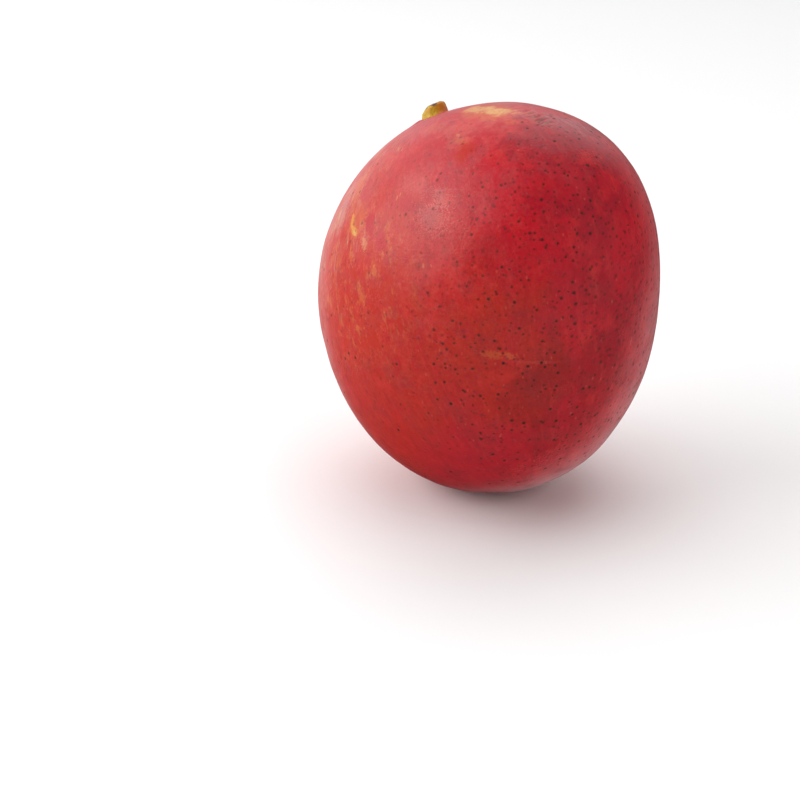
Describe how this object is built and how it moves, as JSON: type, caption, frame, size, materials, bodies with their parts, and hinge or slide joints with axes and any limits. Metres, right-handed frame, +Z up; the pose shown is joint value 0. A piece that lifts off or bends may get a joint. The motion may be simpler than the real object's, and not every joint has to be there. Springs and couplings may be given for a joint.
{
  "type": "mango",
  "caption": "Whole ripe red mango with a short cut stem stub, standing on a small flat spot at its apex.",
  "frame": {"origin": "middle of the bounding box in plan, at the level of the surface that the fruit rests on; it lies on the flat spot", "axes": "+Z up, roughly from the apex to the stem end; the stem leans towards -X and +Y, and the fruit's back swells towards +X and -Y"},
  "size_m": [0.0918, 0.095, 0.1098],
  "materials": {
    "skin": "satin",
    "stem": "matte"
  },
  "bodies": {
    "root": {"fruit": "skin", "stem": "stem"}
  },
  "joints": []
}
